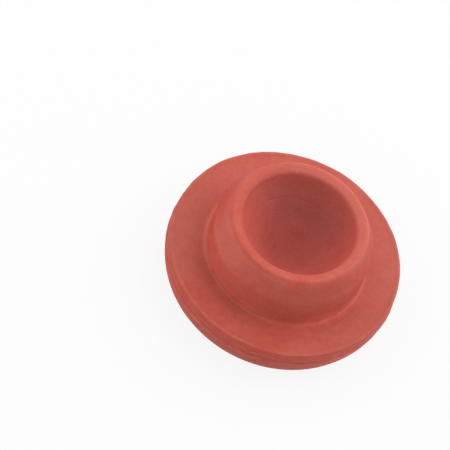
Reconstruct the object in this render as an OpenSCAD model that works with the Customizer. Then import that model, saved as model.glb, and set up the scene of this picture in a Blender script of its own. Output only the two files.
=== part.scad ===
// Rubber stopper for a crimp-neck vial, moulded in one piece.
// It lies on the flat face of its head, with the hollow plug pointing up.
// Z = 0 is the flat face, and Z is the axis of the whole piece.

/* [Head] */
// Diameter of the head at the parting line, without the flash
head_d = 18.8; // [17:0.1:24]
// Height of the head, from its flat face to the shoulder that seats on the vial
head_h = 3.7; // [3.2:0.1:6]
// How far the round edge of the head runs in from its side
edge_in = 1.8; // [0.4:0.1:4]
// Height of the round edge, from the flat face to the parting line
edge_up = 2.5; // [1:0.1:3]
// Diameter of the fine ring on the flat face
ring_d = 4.4; // [2:0.1:8]
// Width of the ring's groove
ring_w = 0.3; // [0.1:0.05:0.6]
// Depth of the ring's groove
ring_deep = 0.06; // [0.02:0.01:0.2]

/* [Side of the head] */
// How much narrower the side is at the shoulder than at the parting line, on the diameter
side_draft = 0.06; // [0:0.02:0.6]
// How far the flash of the parting line stands out
flash_out = 0.06; // [0.02:0.01:0.15]
// Thickness of the flash
flash_w = 0.18; // [0.06:0.02:0.4]
// Height of the trimmed lip round the shoulder
lip_up = 0.05; // [0.02:0.01:0.15]
// Width of the trimmed lip
lip_w = 0.38; // [0.1:0.02:0.6]

/* [Plug] */
// Diameter of the plug where it leaves the shoulder
root_d = 12.9; // [11:0.1:15]
// Diameter at the end of the sealing stretch
seal_d = 12.85; // [12:0.05:13.2]
// Length of the sealing stretch, from the shoulder
seal_len = 2.9; // [1:0.1:3.4]
// Length of the whole plug, from the shoulder to the rim
plug_len = 4.8; // [4.3:0.1:7]
// Diameter of the plug at the rim, before rounding
tip_d = 11; // [11:0.1:12]
// Fillet at the root of the plug
root_r = 0.3; // [0.1:0.05:1]
// Radius between the sealing stretch and the lead-in
shoulder_r = 1.2; // [0.2:0.1:2]
// Outer radius of the rim
rim_r = 0.3; // [0.1:0.05:0.3]

/* [Hollow] */
// Thickness of the plug's wall at the mouth, before its edges are rounded
wall = 0.86; // [0.6:0.02:1.6]
// Width of the rim's flat crest, from the plug's side to where the inner face slopes down
crest_w = 0.25; // [0.2:0.01:0.5]
// Slope of the rim's inner face, in degrees
mouth_slope = 16; // [4:1:30]
// Radius of the mouth's edge, between the sloping face and the bowl
mouth_r = 0.4; // [0.1:0.05:0.5]
// Depth of the round bowl, from the rim
bowl_deep = 4.1; // [3:0.1:4.6]

/* [Hidden] */
$fn = 180;
arc_step = 10;
edge_steps = 18;
rubber = [0.80, 0.38, 0.33];

top_z = head_h + plug_len;
side_r = head_d / 2;
lip_r = (head_d - side_draft) / 2;
face_r = side_r - edge_in;
crest_x = tip_d / 2 - crest_w;

function unit(v) = v / norm(v);

// Points on an arc about a middle, from the first angle up to the last, which is left to what follows
function arc(middle, radius, first, last) =
    let (steps = ceil(abs(last - first) / arc_step))
    [for (i = [0:steps - 1])
        let (a = first + (last - first) * i / steps)
        middle + radius * [cos(a), sin(a)]];

// The corner at b, between a and c, rounded to the radius in b's third value
function rounded(a, b, c) =
    let (
        p = [b[0], b[1]],
        u = unit([a[0], a[1]] - p),
        v = unit([c[0], c[1]] - p),
        half = acos(u * v) / 2,
        middle = p + unit(u + v) * b[2] / sin(half),
        from = unit(p + u * b[2] / tan(half) - middle),
        to = unit(p + v * b[2] / tan(half) - middle),
        sweep = 180 - 2 * half,
        steps = ceil(sweep / arc_step)
    )
    b[2] == 0 ? [p]
    : [for (i = [0:steps])
        middle + b[2] * (from * sin(sweep * (1 - i / steps)) + to * sin(sweep * i / steps)) / sin(sweep)];

// The flat face, with the groove of its ring
face = [
    [0, 0],
    [(ring_d - ring_w) / 2, 0],
    [ring_d / 2, ring_deep],
    [(ring_d + ring_w) / 2, 0],
];

// The round edge of the head is a quarter of an ellipse, which ends upright below the flash
edge_angle = acos(flash_w / 2 / edge_up);
edge = [for (i = [0:edge_steps])
    let (a = edge_angle * i / edge_steps)
    [face_r + edge_in * sin(a), edge_up * (1 - cos(a))]];

// The flash along the parting line
flash = [
    [side_r + flash_out, edge_up - flash_w / 6],
    [side_r + flash_out, edge_up + flash_w / 6],
    [side_r, edge_up + flash_w / 2],
];

// From the side of the head over its shoulder and the plug to the crest of the rim:
// each corner is [radius from the axis, height, rounding]
corners = [
    [lip_r, head_h, 0],
    [lip_r - lip_w / 3, head_h + lip_up, 0],
    [lip_r - lip_w, head_h, 0],
    [root_d / 2, head_h, root_r],
    [seal_d / 2, head_h + seal_len, shoulder_r],
    [tip_d / 2, top_z, rim_r],
    [crest_x, top_z, 0],
];

body = [for (i = [0:len(corners) - 1])
    each i == 0 || i == len(corners) - 1 ? [[corners[i][0], corners[i][1]]]
    : rounded(corners[i - 1], corners[i], corners[i + 1])];

// The bowl is the part of a ball that passes through the mouth and reaches down to bowl_deep
rise = tan(mouth_slope);
mouth_x = tip_d / 2 - wall;
sink = bowl_deep - (wall - crest_w) * rise;
ball_r = (mouth_x * mouth_x + sink * sink) / (2 * sink);
ball_z = top_z - bowl_deep + ball_r;

// The mouth's edge is an arc that touches both the ball and the rim's sloping inner face, so its middle
// is where a line below that face, mouth_r away, meets a larger ball
reach = ball_r + mouth_r;
start_z = top_z - crest_x * rise - mouth_r / cos(mouth_slope) - ball_z;
edge_x = (sqrt(pow(rise * start_z, 2) - (1 + rise * rise) * (start_z * start_z - reach * reach))
    - rise * start_z) / (1 + rise * rise);
edge_z = start_z + rise * edge_x;
lean = atan2(-edge_z, edge_x);
hollow = concat(
    arc([edge_x, ball_z + edge_z], mouth_r, 90 + mouth_slope, 180 - lean),
    arc([0, ball_z], ball_r, -lean, -90),
    [[0, top_z - bowl_deep]]
);

// The whole stopper is one section, turned about the axis
module stopper() {
    color(rubber)
    rotate_extrude()
        polygon(concat(face, edge, flash, body, hollow));
}

stopper();
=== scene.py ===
"""A moulded rubber vial stopper, lying on the flat face of its head with its hollow plug up."""
import math
from types import SimpleNamespace

import bpy
from mathutils import Matrix, Vector, noise


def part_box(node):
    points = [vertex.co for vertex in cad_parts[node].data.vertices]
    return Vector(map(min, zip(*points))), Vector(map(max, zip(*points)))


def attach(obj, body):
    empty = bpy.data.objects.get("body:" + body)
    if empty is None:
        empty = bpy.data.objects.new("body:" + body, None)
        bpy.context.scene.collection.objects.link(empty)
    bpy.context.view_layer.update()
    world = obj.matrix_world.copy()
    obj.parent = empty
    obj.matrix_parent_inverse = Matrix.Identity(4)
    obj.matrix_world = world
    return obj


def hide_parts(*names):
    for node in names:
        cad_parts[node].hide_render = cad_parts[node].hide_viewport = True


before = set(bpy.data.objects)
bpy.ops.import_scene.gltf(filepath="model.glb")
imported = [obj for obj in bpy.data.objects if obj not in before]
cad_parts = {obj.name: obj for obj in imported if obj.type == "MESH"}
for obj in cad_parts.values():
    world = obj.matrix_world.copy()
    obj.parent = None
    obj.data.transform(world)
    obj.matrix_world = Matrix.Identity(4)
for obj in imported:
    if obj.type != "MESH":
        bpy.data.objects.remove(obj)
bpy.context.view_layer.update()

MM = 0.001

# ---- sizes of the moulding, in millimetres -----------------------------------------------------
far_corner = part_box("stopper")[1]
TOP_Z = far_corner.z / MM           # rim of the plug
FLASH_OUT = 0.06                    # how far the flash stands out at the parting line
SIDE_R = far_corner.x / MM - FLASH_OUT  # radius of the head at the parting line
HEAD_H = 3.7                        # flat face to shoulder
EDGE_IN, EDGE_UP = 1.8, 2.5         # width and height of the head's round edge
FLASH_W = 0.18                      # thickness of the flash
LIP_R = SIDE_R - 0.03               # side of the head at the shoulder
LIP_UP, LIP_W = 0.05, 0.38          # trimmed lip round the shoulder
RING_R, RING_W, RING_DEEP = 2.2, 0.3, 0.06  # fine ring in the flat face
ROOT_R, SEAL_R, TIP_R = 6.45, 6.425, 5.5    # plug at its root, where its lead-in starts, and at its rim
SEAL_LEN = 2.9                      # from the shoulder to where the lead-in starts
ROOT_ROUND, SEAL_ROUND, RIM_ROUND, MOUTH_ROUND = 0.3, 1.2, 0.3, 0.4
WALL, CREST_W = 0.86, 0.25          # plug's wall at the mouth, and the flat crest of its rim
MOUTH_SLOPE = math.radians(16)      # slope of the rim's inner face
BOWL_DEEP = 4.1

# The bowl of the hollow is part of a ball, which passes through the mouth and reaches down to FLOOR_Z
MOUTH_R = TIP_R - WALL
CREST_R = TIP_R - CREST_W
SINK = BOWL_DEEP - (WALL - CREST_W) * math.tan(MOUTH_SLOPE)
BALL_R = (MOUTH_R ** 2 + SINK ** 2) / (2 * SINK)
FLOOR_Z = TOP_Z - BOWL_DEEP
BALL_Z = FLOOR_Z + BALL_R

SEGMENTS = 396                      # steps round the axis
ARC_STEP = math.radians(7)          # steps along a rounded corner
EDGE_STEPS, MOUTH_STEPS = 20, 9     # steps along the head's round edge, and along the mouth's edge
MARKS_R = (1.9, 3.9)                # radii between which the bowl has short steps, for its turning marks


# ---- section ------------------------------------------------------------------------------------
def rounded(before, corner, after, radius):
    """The corner between two straight stretches, as an arc that is tangent to both."""
    corner = Vector(corner)
    u = (Vector(before) - corner).normalized()
    v = (Vector(after) - corner).normalized()
    half = u.angle(v) / 2
    middle = corner + (u + v).normalized() * radius / math.sin(half)
    start = corner + u * radius / math.tan(half) - middle
    end = corner + v * radius / math.tan(half) - middle
    sweep = math.pi - 2 * half
    count = math.ceil(sweep / ARC_STEP)
    turns = [sweep * i / count for i in range(count + 1)]
    return [middle + (start * math.sin(sweep - t) + end * math.sin(t)) / math.sin(sweep) for t in turns]


def finer(points):
    """The same line, cut into steps that are short enough for the relief where each of them lies."""
    line = [Vector(points[0])]
    for point in points[1:]:
        start, step = line[-1], Vector(point) - line[-1]
        count = max(1, round(step.length / longest(start + step / 2)))
        line += [start + step * (i + 1) / count for i in range(count)]
    return line


def longest(point):
    """The longest step at a place on the section."""
    r, z = point
    if z < 0.2:
        return 0.5                  # flat face
    if r > LIP_R - LIP_W - 0.2 and z > EDGE_UP - 0.3:
        return 0.07                 # flash, side and lip
    if r > ROOT_R + 0.6 or z < EDGE_UP:
        return 0.2                  # shoulder and round edge
    if r > SEAL_R - 0.1 and z < HEAD_H + 0.2:
        return 0.06                 # root of the plug
    return 0.1 if z > TOP_Z - 0.4 else 0.16     # rim, and the side of the plug below it


def section():
    """The outline from the middle of the flat face, round the outside, to the middle of the bowl."""
    face = [(0, 0), (RING_R - RING_W / 2, 0), (RING_R, RING_DEEP), (RING_R + RING_W / 2, 0)]
    flash = [(SIDE_R + FLASH_OUT, EDGE_UP - FLASH_W / 6), (SIDE_R + FLASH_OUT, EDGE_UP + FLASH_W / 6),
             (SIDE_R, EDGE_UP + FLASH_W / 2)]
    lip = [(LIP_R, HEAD_H), (LIP_R - LIP_W / 3, HEAD_H + LIP_UP), (LIP_R - LIP_W, HEAD_H)]
    return finer(face + round_edge() + flash + lip + plug(lip[-1]) + mouth()) + bowl()


def round_edge():
    """The round edge of the head, a quarter of an ellipse that ends upright below the flash."""
    last = math.acos(FLASH_W / 2 / EDGE_UP)
    turns = [last * i / EDGE_STEPS for i in range(EDGE_STEPS + 1)]
    return [(SIDE_R - EDGE_IN + EDGE_IN * math.sin(t), EDGE_UP * (1 - math.cos(t))) for t in turns]


def plug(start):
    """The outside of the plug, from where the shoulder starts to the flat crest of the rim."""
    corners = [
        (ROOT_R, HEAD_H, ROOT_ROUND),
        (SEAL_R, HEAD_H + SEAL_LEN, SEAL_ROUND),
        (TIP_R, TOP_Z, RIM_ROUND),
    ]
    ends = [start] + [corner[:2] for corner in corners] + [(CREST_R, TOP_Z)]
    line = []
    for i, (r, z, radius) in enumerate(corners):
        line += rounded(ends[i], (r, z), ends[i + 2], radius)
    return line + [(CREST_R, TOP_Z)]


def mouth_edge():
    """The middle of the mouth's round edge, which touches the rim's sloping face and the ball."""
    k = math.tan(MOUTH_SLOPE)
    c = TOP_Z - CREST_R * k - MOUTH_ROUND / math.cos(MOUTH_SLOPE) - BALL_Z
    reach = BALL_R + MOUTH_ROUND
    r = (math.sqrt(k * k * c * c - (1 + k * k) * (c * c - reach * reach)) - k * c) / (1 + k * k)
    return Vector((r, BALL_Z + c + k * r))


def mouth():
    """The round edge of the mouth, from the rim's sloping face to the bowl."""
    middle = mouth_edge()
    sweep = bowl_turn(middle) - MOUTH_SLOPE
    turns = [MOUTH_SLOPE + sweep * i / MOUTH_STEPS for i in range(MOUTH_STEPS + 1)]
    return [middle + MOUTH_ROUND * Vector((-math.sin(t), math.cos(t))) for t in turns]


def bowl_turn(middle):
    """The angle at the ball's middle between its lowest point and where the mouth's edge touches it."""
    return math.pi / 2 - math.atan2(BALL_Z - middle.y, middle.x)


def bowl():
    """The bowl from the mouth's edge to the axis, in short steps where it has turning marks."""
    turn = bowl_turn(mouth_edge())
    line = []
    while turn > 0.03:              # ends just short of the axis
        r = BALL_R * math.sin(turn)
        turn -= (0.055 if MARKS_R[0] < r < MARKS_R[1] else 0.2) / BALL_R
        line.append(Vector((BALL_R * math.sin(turn), BALL_Z - BALL_R * math.cos(turn))))
    return line[:-1] + [Vector((0, FLOOR_Z))]


# ---- relief -------------------------------------------------------------------------------------
MARK_STEP = 0.18                    # from one turning mark in the bowl to the next
OUTER_MARK = 3.66                   # radius of the deepest mark
OUTER_DEEP, MARK_DEEP = 0.02, 0.009     # depth of that mark, and of the others
MARKS_MIDDLE, MARKS_REACH = 3.1, 0.62   # radius where the others are deepest, and how far they go from it
MARKED_SIDE = math.radians(145)     # the side where all the marks are deepest
BROAD_WAVE, SMALL_WAVE = 0.022, 0.006   # height of the surface's unevenness
RIM_TORN = 0.02                     # how far the rim's outer edge wanders
FLASH_TORN, FLASH_FRAY, FLASH_TORN_UP = 0.035, 0.02, 0.05   # and the flash: out, in finer bits, and up
LIP_TORN, LIP_TORN_UP = 0.04, 0.03  # and the lip: out and up

# Fine ragged lines round the side: height, half width, how far they stand out, seed
CUTS = [(3.02, 0.13, 0.022, 51.0), (2.28, 0.12, 0.02, 57.0), (3.4, 0.12, -0.015, 63.0)]


def ragged(angle, count, seed):
    """A smooth random value from about -1 to 1 that closes round the axis, with about count bumps."""
    around = count / math.tau
    return noise.noise(Vector((around * math.cos(angle), around * math.sin(angle), seed))) * 1.6


def near(distance, reach):
    """1 at the line itself, and 0 from reach away."""
    t = max(0.0, 1 - abs(distance) / reach)
    return t * t * (3 - 2 * t)


def turning_marks(r, angle):
    """Depth of the marks that the cutter left in the mould's core, deepest on one side."""
    side = 0.3 + 0.7 * near(math.remainder(angle - MARKED_SIDE, math.tau), 1.8)
    outer = OUTER_DEEP * near(r - OUTER_MARK, 0.09) * (0.5 + 0.5 * side)
    wave = math.cos(math.tau * (r - OUTER_MARK) / MARK_STEP + 0.8 * ragged(angle, 5, 31.0))
    place = Vector((r * 2.6, 0.8 * math.cos(angle), 0.8 * math.sin(angle) + 37))
    wave *= 0.55 + 1.4 * noise.noise(place)
    return outer + MARK_DEEP * near(r - MARKS_MIDDLE, MARKS_REACH) * wave * side


def cut(z, angle, height, wide, deep, seed):
    """Height of a fine ragged line that the trimming left round the side."""
    wander = 0.06 * ragged(angle, 9, seed)
    return deep * near(z - height - wander, wide) * (0.5 + 1.1 * ragged(angle, 80, seed + 1.7))


def waviness(r, z, angle):
    """The moulding's slight unevenness, which leaves its flat face alone."""
    place = Vector((r * math.cos(angle), r * math.sin(angle), z))
    broad = noise.noise(place * 0.33 + Vector((5, 0, 0)))
    small = noise.noise(place * 1.1 + Vector((0, 9, 0)))
    return (BROAD_WAVE * broad + SMALL_WAVE * small) * min(1.0, z / 0.6)


def moulded(point, out, angle):
    """Where a point of the section lies at an angle, with the uneven surface of a real moulding. The
    direction out is square to the section."""
    r, z = point
    high = waviness(r, z, angle)
    in_bowl = z < TOP_Z - 0.5 and abs(math.hypot(r, z - BALL_Z) - BALL_R) < 0.01
    if in_bowl:
        high -= turning_marks(r, angle)
    at_rim = near(r - TIP_R + 0.06, 0.09) * near(z - TOP_Z, 0.2)
    high += RIM_TORN * at_rim * (0.6 + 0.8 * ragged(angle, 26, 43.0))
    if r > SIDE_R - 0.3:
        high += sum(cut(z, angle, *line) for line in CUTS)
    at_flash = near(z - EDGE_UP, 0.22) if r > SIDE_R - 0.2 else 0.0
    at_lip = near(z - HEAD_H - LIP_UP, 0.16) * near(r - LIP_R + LIP_W / 3, 0.3)
    r += out.x * high + at_lip * LIP_TORN * ragged(angle, 60, 19.9)
    r += at_flash * (FLASH_TORN * ragged(angle, 38, 3.1) + FLASH_FRAY * ragged(angle, 110, 7.7))
    z += out.y * high + at_lip * LIP_TORN_UP * ragged(angle, 46, 23.5)
    z += at_flash * FLASH_TORN_UP * ragged(angle, 24, 11.3)
    return r, z


def outward(line):
    """For each point of the section, the direction square to it that leads out of the rubber."""
    ways = []
    for i in range(len(line)):
        along = line[min(i + 1, len(line) - 1)] - line[max(i - 1, 0)]
        ways.append(Vector((along.y, -along.x)).normalized())
    return ways


def revolve(name, line):
    """The section turned about the axis, closed by one point at each end."""
    rings = list(zip(line, outward(line)))[1:-1]
    verts = [(0, 0, line[0].y * MM)]
    for k in range(SEGMENTS):
        angle = math.tau * k / SEGMENTS
        for point, out in rings:
            r, z = moulded(point, out, angle)
            verts.append((r * math.cos(angle) * MM, r * math.sin(angle) * MM, z * MM))
    verts.append((0, 0, line[-1].y * MM))
    top = len(verts) - 1
    n = len(rings)
    faces = []
    for k in range(SEGMENTS):
        here, there = 1 + k * n, 1 + (k + 1) % SEGMENTS * n
        faces.append((0, there, here))
        faces += [(here + i, there + i, there + i + 1, here + i + 1) for i in range(n - 1)]
        faces.append((top, here + n - 1, there + n - 1))
    mesh = bpy.data.meshes.new(name)
    mesh.from_pydata(verts, [], faces)
    mesh.validate()
    mesh.shade_smooth()
    piece = bpy.data.objects.new(name, mesh)
    bpy.context.scene.collection.objects.link(piece)
    return piece


# ---- material -----------------------------------------------------------------------------------
def node(tree, kind, inputs, **settings):
    """A new node with its settings, whose inputs are given as sockets or as plain values."""
    made = tree.nodes.new("ShaderNode" + kind)
    for name, value in settings.items():
        setattr(made, name, value)
    for key, value in inputs.items():
        if isinstance(value, bpy.types.NodeSocket):
            tree.links.new(value, made.inputs[key])
        else:
            made.inputs[key].default_value = value
    return made


def sums(tree, operation, a, b=0.0):
    """One step of arithmetic."""
    return node(tree, "Math", {0: a, 1: b}, operation=operation).outputs[0]


def plus(tree, value, here, amount):
    """The value with an amount of another one added to it."""
    return node(tree, "Math", {0: here, 1: amount, 2: value}, operation="MULTIPLY_ADD").outputs[0]


def smooth(tree, value, start, end, low=0.0, high=1.0):
    """Runs softly from low to high while the value goes from start to end."""
    ends = {"Value": value, "From Min": start, "From Max": end, "To Min": low, "To Max": high}
    return node(tree, "MapRange", ends, interpolation_type="SMOOTHSTEP").outputs["Result"]


def cloud(tree, place, size, seed, detail=2.0):
    """Soft noise about 0, from -0.5 to 0.5, whose patches are about size millimetres wide."""
    inputs = {"Vector": place, "W": seed, "Scale": 1 / size, "Detail": detail}
    fac = node(tree, "TexNoise", inputs, noise_dimensions="4D").outputs[0]
    return sums(tree, "SUBTRACT", fac, 0.5)


def steps(tree, value, stops):
    """A line of values or colours over 0 to 1, given as (place, value) stops."""
    made = node(tree, "ValToRGB", {"Fac": value})
    ramp = made.color_ramp
    while len(ramp.elements) < len(stops):
        ramp.elements.new(1.0)
    for element, (place, shade) in zip(ramp.elements, stops):
        element.position = place
        element.color = (*shade, 1) if isinstance(shade, tuple) else (shade, shade, shade, 1)
    return made.outputs["Color"]


def over_height(tree, height, line):
    """A value that follows a line of (height, value) points."""
    return steps(tree, sums(tree, "DIVIDE", height, TOP_Z), [(z / TOP_Z, value) for z, value in line])


def whereabouts(tree):
    """Where on the stopper a spot lies, in millimetres: its place, its height, its radius, its way out
    from the axis, and how surely it lies in the bowl. The way grows short near the axis."""
    object_place = tree.nodes.new("ShaderNodeTexCoord").outputs["Object"]
    place = node(tree, "VectorMath", {0: object_place, "Scale": 1 / MM}, operation="SCALE").outputs[0]
    height = node(tree, "SeparateXYZ", {0: place}).outputs["Z"]
    flat = node(tree, "VectorMath", {0: place, 1: (1, 1, 0)}, operation="MULTIPLY").outputs[0]
    radius = node(tree, "VectorMath", {0: flat}, operation="LENGTH").outputs["Value"]
    shorter = sums(tree, "DIVIDE", 1.0, sums(tree, "MAXIMUM", radius, 3.0))
    way = node(tree, "VectorMath", {0: flat, "Scale": shorter}, operation="SCALE").outputs[0]
    centre = {0: place, 1: (0, 0, BALL_Z)}
    from_ball = node(tree, "VectorMath", centre, operation="DISTANCE").outputs["Value"]
    inside = smooth(tree, from_ball, BALL_R + 0.16, BALL_R + 0.05)
    return SimpleNamespace(place=place, height=height, radius=radius, way=way, inside=inside)


def patch(tree, at, middle, wide, low, high):
    """1 in the middle of a soft patch: its angle and half width in degrees, its heights in millimetres."""
    m = math.radians(middle)
    turn = node(tree, "VectorMath", {0: at.way, 1: (math.cos(m), math.sin(m), 0)}, operation="DOT_PRODUCT")
    across = smooth(tree, turn.outputs["Value"], math.cos(math.radians(wide)), 1.0)
    half = (high - low) / 2
    off = sums(tree, "ABSOLUTE", sums(tree, "SUBTRACT", at.height, (high + low) / 2))
    return sums(tree, "MULTIPLY", across, smooth(tree, off, half, half * 0.4))


def patched(tree, at, line, patches):
    """A value that follows a line over the height, with soft patches added to it."""
    value = over_height(tree, at.height, line)
    for amount, *spot in patches:
        value = plus(tree, value, patch(tree, at, *spot), amount)
    return value


# Red rubber where it is clean, where it has its usual thin bloom, and where the bloom is thick
CLEAN = (0.544, 0.061, 0.036)
USUAL = (0.585, 0.127, 0.095)
PALE = (0.655, 0.178, 0.138)

# How thick the bloom is at a height, and painted light and shade over the height: darker low on the head
# and deep in the bowl, where shade falls, and lighter on the lip and the rim's crest, which face the
# light. Outside, from the round edge over the side, the shoulder and the plug to its rim, and in the bowl
# from its lowest part up
BLOOM = [(0.0, 0.5), (1.8, 0.45), (EDGE_UP - 0.12, 0.45), (EDGE_UP, 0.65), (EDGE_UP + 0.15, 0.32),
         (HEAD_H - 0.1, 0.3), (HEAD_H - 0.02, 0.47), (HEAD_H + LIP_UP, 0.62), (HEAD_H + 0.2, 0.5),
         (4.6, 0.4), (6.4, 0.34), (7.2, 0.32), (7.9, 0.34), (8.35, 0.45), (8.5, 0.52)]
PAINTED_LIGHT = [(0.0, 0.93), (3.5, 0.95), (HEAD_H, 0.99), (HEAD_H + LIP_UP, 1.03), (4.0, 0.99), (7.8, 1.0),
         (8.35, 1.06), (8.5, 1.08)]
IN_BLOOM = [(4.0, 0.42), (5.0, 0.42), (6.0, 0.45), (8.2, 0.48), (8.5, 0.46)]
IN_PAINTED_LIGHT = [(4.3, 0.71), (4.65, 0.75), (5.1, 0.83), (6.0, 0.93), (7.0, 1.0), (8.0, 1.05), (8.5, 1.07)]

# How much bluer the bowl is made deep down, and the heights where this starts to fade and is weakest
IN_TINT = (1.0, 1.01, 1.12)
TINT_FADES_Z, TINT_WEAKEST_Z = 5.6, 8.4

# Soft patches, outside and in the bowl. The bloom patches are partly real bloom and partly a painted tint
# of the light:
# the redder ones on the left paint a red reflection, and the paler ones paint whiter light where it falls.
# The other patches are painted light and shade, lighter or darker where more or less light falls. Each one
# has its amount, its angle, its half width, and the heights where it ends
BLOOM_AND_LIGHT_TINT = [(-0.2, 162, 50, 5.9, 8.8), (-0.12, 160, 56, 3.8, 8.6), (-0.06, -160, 42, 4.0, 8.0),
           (0.15, -20, 36, 0.8, 3.3), (0.18, -140, 46, 5.9, 8.7), (0.15, 80, 75, 6.0, 8.7),
           (0.10, 40, 100, 8.1, 9.1), (-0.17, -120, 80, 8.1, 9.1), (-0.12, 12, 40, 5.0, 8.2),
           (0.13, -172, 45, 3.4, 4.0), (-0.13, -85, 65, 3.4, 4.0), (0.15, 50, 70, 3.4, 4.0),
           (-0.17, -172, 58, 1.7, 3.9)]
# Painted light and shade outside
PAINTED_SHADES = [(-0.08, -65, 50, 3.9, 8.4), (0.06, -145, 40, 5.4, 8.6), (0.06, -168, 60, 3.74, 7.2),
          (-0.08, -172, 45, 3.4, 4.0), (-0.07, -85, 45, 0.5, 3.7), (0.03, 45, 80, 8.1, 9.1),
          (0.05, -20, 35, 0.5, 3.0), (-0.02, -60, 34, 3.7, 3.9), (-0.05, -28, 32, 3.4, 4.0),
          (0.05, -112, 40, 3.6, 3.9), (0.05, 112, 35, 3.6, 3.9), (-0.04, -112, 35, 8.2, 9.0),
          (-0.04, -112, 40, 3.5, 3.95), (0.05, -160, 35, 1.0, 3.65)]
# In the bowl: bloom with a painted tint of the light, then painted light and shade
IN_BLOOM_AND_LIGHT_TINT = [(0.28, 92, 85, 3.6, 8.5), (0.4, -78, 56, 6.2, 9.2), (-0.12, -20, 38, 5.2, 7.6)]
IN_PAINTED_SHADES = [(-0.19, 82, 85, 4.2, 8.6), (0.09, -165, 70, 4.2, 8.8), (0.12, -90, 60, 4.6, 7.6),
             (0.06, 2, 52, 6.4, 9.0)]

# Painted light and shade in narrow stretches: painted highlights and painted shade along the plug's root
# and on the shoulder, a painted highlight along the lip and painted highlights along the rim's outer edge.
# Each one has its amount, the radii where it ends and is full, and then its angle, half width and heights
# as above
PAINTED_STRETCHES = [(0.19, 7.1, 6.6, -32, 36, 2.6, 5.0), (-0.11, 6.9, 6.62, -124, 46, 3.0, 4.1),
             (-0.06, 8.1, 7.1, -118, 38, 3.2, 4.2), (0.05, 7.7, 7.1, -72, 34, 3.2, 4.2),
             (0.07, 9.0, 9.2, -122, 34, 3.4, 4.1), (0.09, 6.55, 6.45, -120, 44, 3.7, 4.7),
             (0.05, 6.6, 6.48, -162, 42, 3.85, 5.6), (0.10, 6.95, 6.7, -175, 45, 3.2, 4.3),
             (0.16, 5.40, 5.50, 55, 80, 8.26, 8.5), (0.22, 5.38, 5.48, 114, 18, 8.26, 8.5)]

# Where the painted shading of the bowl's turning marks lies: angle, half width, heights
MARK_SHADE_SPOT = (165, 85, 3.0, 9.0)

# Pale torn lines round the side: height and half width. They start and are full at these radii, where
# they add this much bloom and light
TRIM = [(2.3, 0.08), (2.52, 0.07), (3.02, 0.08)]
TRIM_R = (9.1, 9.25)
TRIM_BLOOM, TRIM_LIGHT = 0.3, 0.1

# How strongly the turning marks are painted with lighter and darker lines, which is painted shade, and the
# radii where this starts, is full, starts to fade and ends
MARK_SHADE_AMOUNT = 0.035
MARK_SHADE_RADII = (2.4, 2.8, 3.7, 3.95)

# Mottling: size of its spots in millimetres, seed, how far it changes the bloom and the lightness
MOTTLES = [(3.5, 1.0, 0.36, 0.04), (1.1, 2.0, 0.26, 0.07), (0.3, 3.0, 0.3, 0.09)]

GRAIN, GRAIN_DEEP = 0.14, 0.012     # size and depth of the fine grain
ROUGH_CLEAN, ROUGH_PALE = 0.5, 0.66


def painted_mark_shade(tree, at):
    """Painted shading of the bowl's turning marks: lines that are painted lighter and darker along them.
    """
    phase = sums(tree, "MULTIPLY", sums(tree, "SUBTRACT", at.radius, OUTER_MARK), math.tau / MARK_STEP)
    wander = sums(tree, "MULTIPLY", cloud(tree, at.place, 2.0, 6.0), 3.0)
    wave = sums(tree, "COSINE", sums(tree, "ADD", phase, wander))
    starts, full, fades, ends = MARK_SHADE_RADII
    band = sums(tree, "MULTIPLY",
                smooth(tree, at.radius, starts, full), smooth(tree, at.radius, ends, fades))
    kept = smooth(tree, cloud(tree, at.place, 0.9, 12.0), -0.1, 0.15, 0.2, 1.5)
    return sums(tree, "MULTIPLY", sums(tree, "MULTIPLY", wave, band), sums(tree, "MULTIPLY", kept, MARK_SHADE_AMOUNT))


def torn_lines(tree, at):
    """1 on the pale, broken lines that the mould's joint and the trimming left round the side."""
    wander = sums(tree, "MULTIPLY", cloud(tree, at.place, 2.2, 8.0, 5.0), 0.22)
    points = [(0.0, 0.0)]
    for z, half in TRIM:
        points += [(z - half, 0.0), (z, 1.0), (z + half, 0.0)]
    line = over_height(tree, sums(tree, "ADD", at.height, wander), points)
    broken = smooth(tree, cloud(tree, at.place, 1.0, 9.0, 6.0), -0.08, 0.12, 0.1, 1.2)
    return sums(tree, "MULTIPLY", line, broken)


def bloom_and_painted_light(tree, at):
    """How thick the bloom on the rubber is, with a painted tint of the light in it, and how light the
    rubber is, with painted light and shade in it.
    """
    # The bloom takes a painted tint of the light from its patches, and the lightness takes painted light
    # and shade
    bloom_and_painted_tint, light = [
        node(tree, "Mix", {"Factor": at.inside, "A": patched(tree, at, *outer),
                           "B": patched(tree, at, *inner)}).outputs[0]
        for outer, inner in (((BLOOM, BLOOM_AND_LIGHT_TINT), (IN_BLOOM, IN_BLOOM_AND_LIGHT_TINT)),
                             ((PAINTED_LIGHT, PAINTED_SHADES), (IN_PAINTED_LIGHT, IN_PAINTED_SHADES)))]
    # Painted highlights and painted shade in narrow stretches
    for amount, ends, full, *spot in PAINTED_STRETCHES:
        here = sums(tree, "MULTIPLY", patch(tree, at, *spot), smooth(tree, at.radius, ends, full))
        light = plus(tree, light, here, amount)
    # Painted shading along the turning marks, on one side of the bowl
    marked = sums(tree, "MULTIPLY", at.inside, patch(tree, at, *MARK_SHADE_SPOT))
    light = plus(tree, light, marked, painted_mark_shade(tree, at))
    torn = torn_lines(tree, at)
    bloom_and_painted_tint = plus(tree, bloom_and_painted_tint, torn, smooth(tree, at.radius, *TRIM_R, 0.0, TRIM_BLOOM))
    light = plus(tree, light, torn, smooth(tree, at.radius, *TRIM_R, 0.0, TRIM_LIGHT))
    for size, seed, more_bloom, more_light in MOTTLES:
        spots = cloud(tree, at.place, size, seed)
        bloom_and_painted_tint = plus(tree, bloom_and_painted_tint, spots, more_bloom)
        light = plus(tree, light, spots, more_light)
    return bloom_and_painted_tint, light


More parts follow.
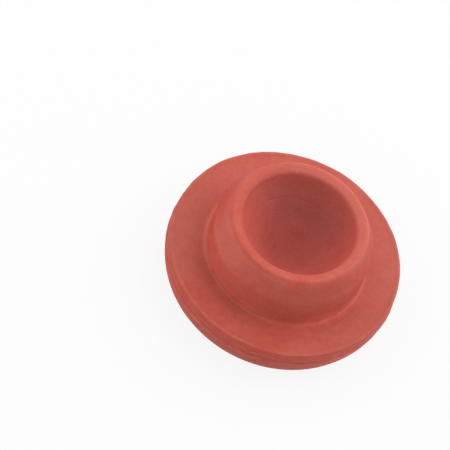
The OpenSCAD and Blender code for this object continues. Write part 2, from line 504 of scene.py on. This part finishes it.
def rubber():
    """Matte red rubber, with a thin pale bloom that is uneven, a fine grain, and painted light and shade
    in its colour.
    """
    material = bpy.data.materials.new("red_rubber")
    material.use_nodes = True
    tree = material.node_tree
    shader = tree.nodes["Principled BSDF"]
    at = whereabouts(tree)
    bloom_and_painted_tint, light = bloom_and_painted_light(tree, at)

    colour = steps(tree, bloom_and_painted_tint, [(0.0, CLEAN), (0.5, USUAL), (1.0, PALE)])
    # The lightness, which holds painted light and shade, scales the colour
    colour = node(tree, "VectorMath", {0: colour, "Scale": light}, operation="SCALE").outputs[0]
    # Bluer deep in the bowl
    deep_share = smooth(tree, at.height, TINT_WEAKEST_Z, TINT_FADES_Z, 0.35, 1.0)
    deep_tint = steps(tree, sums(tree, "MULTIPLY", at.inside, deep_share), [(0.0, (1.0, 1.0, 1.0)), (1.0, IN_TINT)])
    colour = node(tree, "VectorMath", {0: colour, 1: deep_tint}, operation="MULTIPLY").outputs[0]
    tree.links.new(colour, shader.inputs["Base Color"])

    tree.links.new(smooth(tree, bloom_and_painted_tint, 0.0, 1.0, ROUGH_CLEAN, ROUGH_PALE), shader.inputs["Roughness"])
    grain = cloud(tree, at.place, GRAIN, 5.0, 3.0)
    bump = node(tree, "Bump", {"Height": grain, "Distance": GRAIN_DEEP * MM, "Strength": 1.0})
    tree.links.new(bump.outputs["Normal"], shader.inputs["Normal"])
    shader.inputs["IOR"].default_value = 1.5
    shader.inputs["Specular IOR Level"].default_value = 0.09
    return material


# ---- stage --------------------------------------------------------------------------------------
AIM_Z = 3.8                         # height of the point that the camera is aimed by, in millimetres
FLOOR_HALF = 3.0                    # half the floor's width, in metres
FLOOR_WHITE = 0.88                  # how far the floor shows as plain white
LAMP_AWAY, LAMP_SIZE = 0.5, 0.6     # the lamps' distance and width, in metres


def camera(elevation, roll, distance, lens, right, down):
    """Looks at a point on the axis from an elevation, tipped about its own axis, with that point moved
    right and down in the picture by distances in millimetres."""
    e, tip = math.radians(elevation), math.radians(roll)
    back = Vector((0, -math.cos(e), math.sin(e)))
    up = Vector((0, math.sin(e), math.cos(e)))
    side = Vector((1, 0, 0))
    x = side * math.cos(tip) + up * math.sin(tip)
    y = up * math.cos(tip) - side * math.sin(tip)
    data = bpy.data.cameras.new("camera")
    data.lens = lens
    data.clip_start, data.clip_end = 0.01, 10
    seer = bpy.data.objects.new("camera", data)
    seer.matrix_world = Matrix((x, y, back)).transposed().to_4x4()
    seer.location = Vector((0, 0, AIM_Z)) * MM - (x * right - y * down) * MM + back * distance
    bpy.context.scene.collection.objects.link(seer)
    bpy.context.scene.camera = seer


def softbox(name, azimuth, elevation, power):
    """A square lamp that faces the stopper. Azimuth 0 is behind the camera, and it grows to the right."""
    a, e = math.radians(azimuth), math.radians(elevation)
    away = Vector((math.sin(a) * math.cos(e), -math.cos(a) * math.cos(e), math.sin(e)))
    data = bpy.data.lights.new(name, "AREA")
    data.energy = power
    data.size = LAMP_SIZE
    lamp = bpy.data.objects.new(name, data)
    lamp.location = away * LAMP_AWAY
    lamp.rotation_euler = away.to_track_quat("Z", "Y").to_euler()
    bpy.context.scene.collection.objects.link(lamp)


def floor():
    """A white floor that shows as white and keeps the soft shadow."""
    mesh = bpy.data.meshes.new("floor")
    corners = [(FLOOR_HALF * x, FLOOR_HALF * y, 0) for x, y in ((-1, -1), (1, -1), (1, 1), (-1, 1))]
    mesh.from_pydata(corners, [], [(0, 1, 2, 3)])
    plane = bpy.data.objects.new("floor", mesh)
    plane.location.z = -0.01 * MM       # just below the flat face, which would flicker with it
    bpy.context.scene.collection.objects.link(plane)
    material = bpy.data.materials.new("floor_white")
    material.use_nodes = True
    tree = material.node_tree
    shader = tree.nodes["Principled BSDF"]
    shader.inputs["Base Color"].default_value = (0.9, 0.9, 0.9, 1)
    shader.inputs["Roughness"].default_value = 1.0
    shader.inputs["Specular IOR Level"].default_value = 0.0
    glow = node(tree, "Emission", {})
    show(tree, "Material Output", shader.outputs["BSDF"], glow.outputs["Emission"], FLOOR_WHITE)
    mesh.materials.append(material)


def white_world(strength):
    """An even white light, which shows as plain white behind everything."""
    world = bpy.data.worlds.new("world")
    world.use_nodes = True
    tree = world.node_tree
    light = tree.nodes["Background"]
    light.inputs["Color"].default_value = (1, 1, 1, 1)
    light.inputs["Strength"].default_value = strength
    white = node(tree, "Background", {"Color": (1, 1, 1, 1)})
    show(tree, "World Output", light.outputs["Background"], white.outputs["Background"], 1.0)
    bpy.context.scene.world = world


def show(tree, output, real, shown, share):
    """Puts a share of what is shown over the real one, for rays that the camera sees, straight or in a
    reflection, and leaves the light's own rays the real one."""
    rays = tree.nodes.new("ShaderNodeLightPath").outputs
    seen = sums(tree, "MAXIMUM", rays["Is Camera Ray"], rays["Is Glossy Ray"])
    seen = sums(tree, "MAXIMUM", seen, rays["Is Transmission Ray"])
    blend = node(tree, "MixShader", {0: sums(tree, "MULTIPLY", seen, share), 1: real, 2: shown})
    tree.links.new(blend.outputs["Shader"], tree.nodes[output].inputs["Surface"])


stopper = revolve("stopper_rubber", section())
stopper.data.materials.append(rubber())
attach(stopper, "root")
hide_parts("stopper")

camera(elevation=55.7, roll=25.1, distance=0.552, lens=560, right=4.78, down=2.19)
floor()
softbox("low_left", 300, 12, 0.24)
softbox("left", 270, 35, 0.62)
softbox("right", 110, 45, 0.25)
softbox("back_right", 150, 45, 1.4)
white_world(0.56)
bpy.context.scene.view_settings.view_transform = "Standard"
